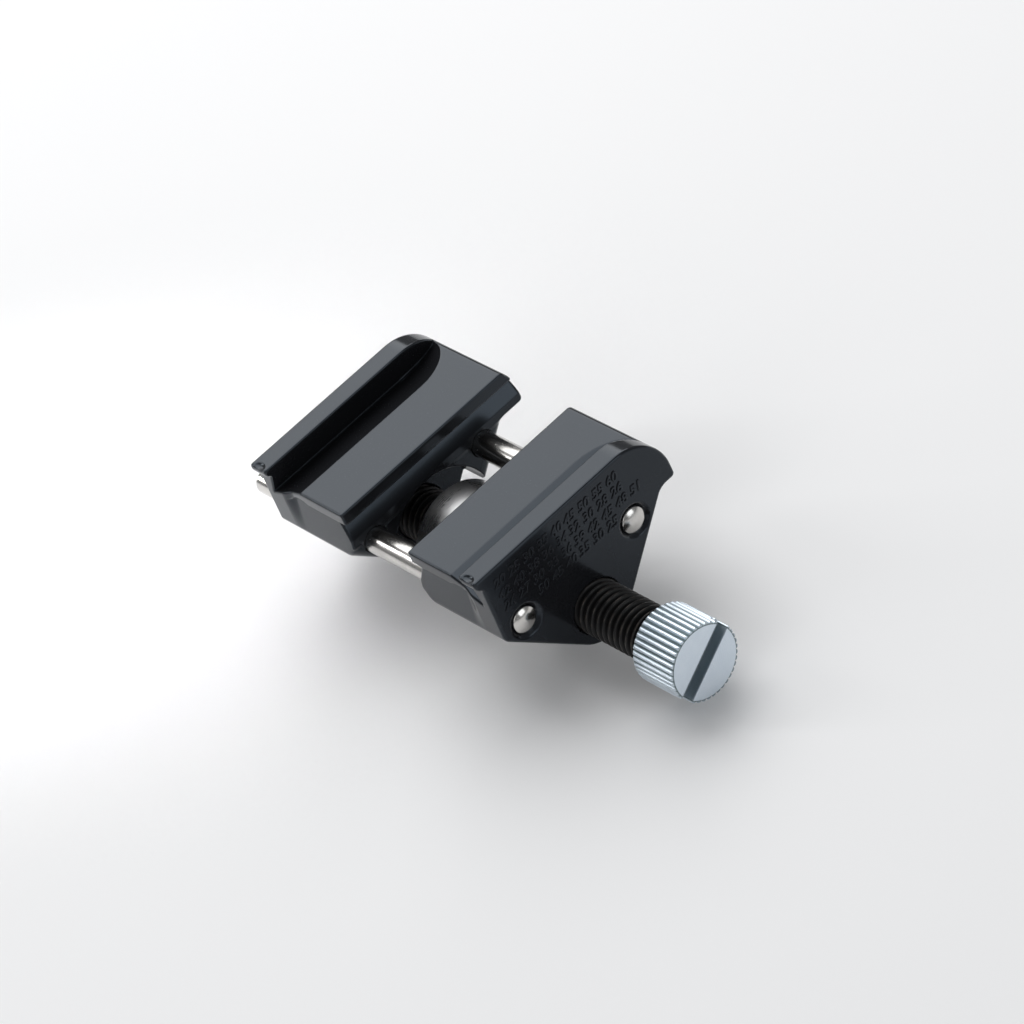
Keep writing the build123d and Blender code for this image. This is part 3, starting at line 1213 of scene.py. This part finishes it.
@dataclass
class Knob:
    """Knurled knob with a screwdriver slot across its end."""

    mesh_step: float = 0.125
    teeth: int = 40
    crest_share: float = 1.7
    back_chamfer: float = 0.35
    face_chamfer: float = 0.16
    face_round: float = 0.07
    slot_width: float = 2.6
    slot_depth: float = 2.3
    slot_angle: float = 149.0
    slot_round: float = 0.12
    bore_radius: float = 3.5
    bore_depth: float = 6.5
    turning_depth: float = 0.006
    turning_pitch: float = 0.42

    def __post_init__(self) -> None:
        """Read the knob's box from the frame."""
        self.low, self.high = cad_box("knob")
        self.radius = self.high[0]

    def field(self, x: Grid, y: Grid, z: Grid) -> Grid:
        """Field of the knob.

        Args:
            x, y, z: Places, in millimetres.

        Returns:
            The field at each place.
        """
        distance = np.hypot(x, z)
        wave = (1 - np.cos(self.teeth * np.arctan2(x, z))) / 2
        ridge = self.radius - KNURL_DEPTH * wave**self.crest_share
        face, back = self.high[1], self.low[1]
        rings = self.turning_depth * np.cos(distance * FULL_TURN / self.turning_pitch)
        ends = np.maximum(y - face + self.turning_depth + rings, back - y)
        body = common(distance - ridge, ends, self.face_round)
        face_bevel = distance + y - self.radius - face + self.face_chamfer
        back_bevel = distance + back - y - self.radius + self.back_chamfer
        for bevel in (face_bevel, back_bevel):
            body = common(body, bevel * DIAGONAL, self.face_round)
        angle = math.radians(self.slot_angle)
        across = np.abs(z * math.cos(angle) - x * math.sin(angle))
        slot = np.maximum(across - self.slot_width / 2, face - self.slot_depth - y)
        body = without(body, slot, self.slot_round)
        bore = np.maximum(distance - self.bore_radius, y - back - self.bore_depth)
        return np.maximum(body, -bore)

    def build(self) -> bpy.types.Object:
        """Mesh the knob and dress it.

        Returns:
            The piece.
        """
        points, quads, normals = FieldMesher(self.mesh_step).build(self.field, self.low, self.high)
        piece = new_piece("knurled_knob", points, quads, normals)
        dress(piece, Finishes.ZINC, "screw", "knob")
        return piece


# ---- Guide rods, roller and what keeps it ----


@dataclass
class GuideRod:
    """A guide rod: domed in the knob-side jaw, chamfered at its free end."""

    place: str
    dome: float = 0.85
    dome_corner: float = 0.35
    chamfer: float = 0.5
    chamfer_round: float = 0.12
    dome_stops: tuple[float, ...] = (0.75, 0.5, 0.3, 0.15)
    crease: float = 40.0
    segments: int = 72

    def build(self) -> bpy.types.Object:
        """Turn the rod, move it to its place and dress it.

        Returns:
            The piece.
        """
        node = f"guide_rod_{self.place}"
        low, high = cad_box(node)
        radius = (high[0] - low[0]) / 2
        sphere = (radius**2 + self.dome**2) / (2 * self.dome)
        corners = [
            (0.0, low[1], 0.0),
            (radius - self.chamfer, low[1], self.chamfer_round),
            (radius, low[1] + self.chamfer, self.chamfer_round),
            (radius, high[1] - self.dome, self.dome_corner),
        ]
        for share in self.dome_stops:
            reach = radius * share
            corners.append((reach, high[1] - sphere + math.sqrt(sphere**2 - reach**2), 0.0))
        corners.append((0.0, high[1], 0.0))
        points, faces = Turning(tuple(corners), self.segments).mesh(closed=False)
        centre = np.array([(low[0] + high[0]) / 2, 0, (low[2] + high[2]) / 2])
        piece = new_piece(f"{self.place}_guide_rod", points + centre, faces)
        piece.data.set_sharp_from_angle(angle=math.radians(self.crease))
        dress(piece, Finishes.ROD, "knob_side_jaw", node)
        return piece


@dataclass
class RollerSet:
    """The roller, its bush, two thrust washers and two retaining clips."""

    tread_round: float = 0.6
    bore_round: float = 0.25
    recess_depth: float = 0.35
    recess_edge: float = 1.4
    recess_slope: float = 0.3
    recess_round: float = 0.15
    hub_edge: float = 1.2
    bush_round: float = 0.15
    washer_round: float = 0.18
    clip_step: float = 0.13
    clip_opening: float = 60.0
    clip_ear: float = 1.5
    clip_eye: float = 0.6
    clip_fillet: float = 0.4
    clip_round: float = 0.14
    arc_steps: int = 4

    def ring(self, name: str, node: str, bore: float, rounding: float) -> bpy.types.Object:
        """A plain ring the size of a CAD node.

        Args:
            name: The piece's name.
            node: The CAD node.
            bore: Radius of its hole.
            rounding: Radius of its corners.

        Returns:
            The piece, not yet dressed.
        """
        low, high = cad_box(node)
        corners = (
            (bore, low[1], rounding),
            (high[0], low[1], rounding),
            (high[0], high[1], rounding),
            (bore, high[1], rounding),
        )
        points, faces = Turning(corners, arc_steps=self.arc_steps).mesh(closed=True)
        return new_piece(name, points, faces)

    def roller(self) -> bpy.types.Object:
        """The roller, with a shallow turned recess in each end.

        Returns:
            The piece, not yet dressed.
        """
        tread, half = cad_box("roller")[1][:2]
        bore = cad_box("roller_bush")[1][0]
        inner, outer = bore + self.hub_edge, tread - self.recess_edge
        floor = half - self.recess_depth
        corners = []
        for sign in (-1, 1):
            side = [
                (bore, sign * half, self.bore_round),
                (inner, sign * half, self.recess_round),
                (inner + self.recess_slope, sign * floor, self.recess_round),
                (outer - self.recess_slope, sign * floor, self.recess_round),
                (outer, sign * half, self.recess_round),
                (tread, sign * half, self.tread_round),
            ]
            corners += side if sign < 0 else side[::-1]
        points, faces = Turning(tuple(corners), arc_steps=self.arc_steps).mesh(closed=True)
        return new_piece("centre_roller", points, faces)

    def clip_field(self, middle: float, half: float, outer: float, inner: float) -> Field:
        """Field of a circlip with two eyed ears, open at the top.

        Args:
            middle: Y of its middle.
            half: Half its thickness.
            outer: Radius that its ears reach.
            inner: Radius of its hole.

        Returns:
            The field.
        """
        opening = math.radians(self.clip_opening / 2)
        reach = outer - self.clip_ear
        lean = opening + self.clip_ear / reach

        def field(x: Grid, y: Grid, z: Grid) -> Grid:
            distance = np.hypot(x, z)
            band = np.maximum(distance - (outer - self.clip_ear / 2), inner - distance)
            gap = np.maximum(np.abs(x) * math.cos(opening) - z * math.sin(opening), -z)
            shape = np.maximum(band, -gap)
            ear = np.hypot(np.abs(x) - reach * math.sin(lean), z - reach * math.cos(lean))
            eared = np.maximum(ear - self.clip_ear, inner - distance)
            shape = joined(shape, eared, self.clip_fillet)
            shape = np.maximum(shape, self.clip_eye - ear)
            return common(shape, np.abs(y - middle) - half, self.clip_round)

        return field

    def clip(self, side: str) -> bpy.types.Object:
        """One retaining clip.

        Args:
            side: Side of the roller, as the CAD names it.

        Returns:
            The piece, not yet dressed.
        """
        low, high = cad_box(f"retaining_clip_{side}")
        inner = cad_box("spindle")[1][0] - CLIP_GROOVE_DEPTH
        outer = -low[2] + self.clip_ear / 2
        field = self.clip_field((low[1] + high[1]) / 2, (high[1] - low[1]) / 2, outer, inner)
        points, quads, normals = FieldMesher(self.clip_step).build(field, low, high)
        return new_piece(f"{side}_circlip", points, quads, normals)

    def build(self) -> None:
        """Make and dress the whole set."""
        dress(self.roller(), Finishes.ROLLER, "roller", "roller")
        journal = cad_box("spindle")[1][0]
        bush = self.ring("bronze_bush", "roller_bush", journal + BUSH_CLEARANCE, self.bush_round)
        dress(bush, Finishes.BRONZE, "roller", "roller_bush")
        for side in ("knob_side", "far_side"):
            node = f"thrust_washer_{side}"
            bore = journal + WASHER_CLEARANCE
            washer = self.ring(f"{side}_thrust_washer", node, bore, self.washer_round)
            dress(washer, Finishes.WASHER, "centre", node)
            dress(self.clip(side), Finishes.SPRING, "screw", f"retaining_clip_{side}")


# ---- Camera, floor and lights ----


@dataclass(frozen=True)
class Softbox:
    """A rectangular studio light that faces a point near the guide."""

    name: str
    towards: Triple
    distance: float
    size: tuple[float, float]
    radiance: float
    tint: Colour = (1.0, 1.0, 1.0)
    aside: Triple = (0.0, 0.0, 0.0)
    spread: float = 180.0

    def build(self, aim: Vector) -> None:
        """Put up the light.

        Args:
            aim: The middle of the guide, in metres.
        """
        light = bpy.data.lights.new(self.name, "AREA")
        light.shape = "RECTANGLE"
        light.size, light.size_y = (side * MM for side in self.size)
        light.energy = self.radiance * math.pi * light.size * light.size_y
        light.color = self.tint
        light.spread = math.radians(self.spread)
        direction = Vector(self.towards).normalized()
        holder = linked(self.name, light)
        holder.location = aim + (Vector(self.aside) + direction * self.distance) * MM
        holder.rotation_mode = "QUATERNION"
        holder.rotation_quaternion = direction.to_track_quat("Z", "Y")


@dataclass(frozen=True)
class Studio:
    """Camera, floor and lights."""

    lens: float = 175.78
    sensor: float = 36.0
    azimuth: float = 155.86
    elevation: float = 38.36
    roll: float = -26.65
    aim: Triple = (-7.09, 1.35, 2.10)
    distance: float = 861.8
    floor_size: float = 6000.0
    ambient: float = 0.24
    sky: Triple = (0.97, 0.985, 1.0)
    clip_range: tuple[float, float] = (0.05, 20.0)
    lights: tuple[Softbox, ...] = (
        Softbox("overhead_softbox", (-0.30, -0.50, 0.80), 900.0, (900.0, 1100.0), 2.6),
        Softbox("edge_strip", (0.46, -0.72, 0.52), 900.0, (70.0, 520.0), 10.0),
        Softbox("side_softbox", (0.85, 0.35, 0.55), 1100.0, (700.0, 700.0), 1.2),
        Softbox("knob_softbox", (-0.25, 0.95, 0.35), 900.0, (500.0, 360.0), 2.0, (0.93, 0.97, 1.0)),
        Softbox(
            "floor_wash",
            (0.45, -0.60, 0.66),
            420.0,
            (60.0, 60.0),
            1.6,
            aside=(60.0, -115.0, 0.0),
            spread=16.0,
        ),
    )

    def camera(self) -> None:
        """Make the camera: azimuth 0 looks along +Y, and 90 along -X."""
        turn, rise, roll = (math.radians(a) for a in (self.azimuth, self.elevation, self.roll))
        back = Vector(
            (math.sin(turn) * math.cos(rise), -math.cos(turn) * math.cos(rise), math.sin(rise))
        )
        level = (-back).cross(Vector((0, 0, 1))).normalized()
        upright = level.cross(-back)
        right = level * math.cos(roll) + upright * math.sin(roll)
        above = back.cross(right)
        data = bpy.data.cameras.new("camera")
        data.lens, data.sensor_width = self.lens, self.sensor
        data.clip_start, data.clip_end = self.clip_range
        holder = linked("camera", data)
        axes = Matrix((right, above, back)).transposed().to_4x4()
        place = (Vector(self.aim) + back * self.distance) * MM
        holder.matrix_world = Matrix.Translation(place) @ axes
        bpy.context.scene.camera = holder

    def floor(self) -> None:
        """Lay the floor at the roller's lowest point."""
        height = CAD_BOX[0].z / MM
        half = self.floor_size / 2
        signs = ((-1, -1), (1, -1), (1, 1), (-1, 1))
        corners = np.array([(side * half, end * half, height) for side, end in signs])
        board = new_piece("pale_floor", corners, [(0, 1, 2, 3)])
        board.data.materials.append(PaleBoard("pale_board").material())

    def build(self) -> None:
        """Set up the whole studio."""
        self.camera()
        self.floor()
        aim = Vector(self.aim) * MM
        for light in self.lights:
            light.build(aim)
        world = bpy.data.worlds.new("studio")
        world.use_nodes = True
        backdrop = world.node_tree.nodes["Background"]
        backdrop.inputs["Color"].default_value = (*self.sky, 1.0)
        backdrop.inputs["Strength"].default_value = self.ambient
        bpy.context.scene.world = world
        bpy.context.scene.view_settings.view_transform = "Standard"


def main() -> None:
    """Build the guide and its studio."""
    logging.basicConfig(level=logging.INFO, format="%(message)s")
    Studio().build()
    for side in Side:
        Jaw(side).build()
    FaceNumerals().build()
    Spindle().build()
    Knob().build()
    for place in ("front", "rear"):
        GuideRod(place).build()
    RollerSet().build()


if __name__ == "__main__":
    main()
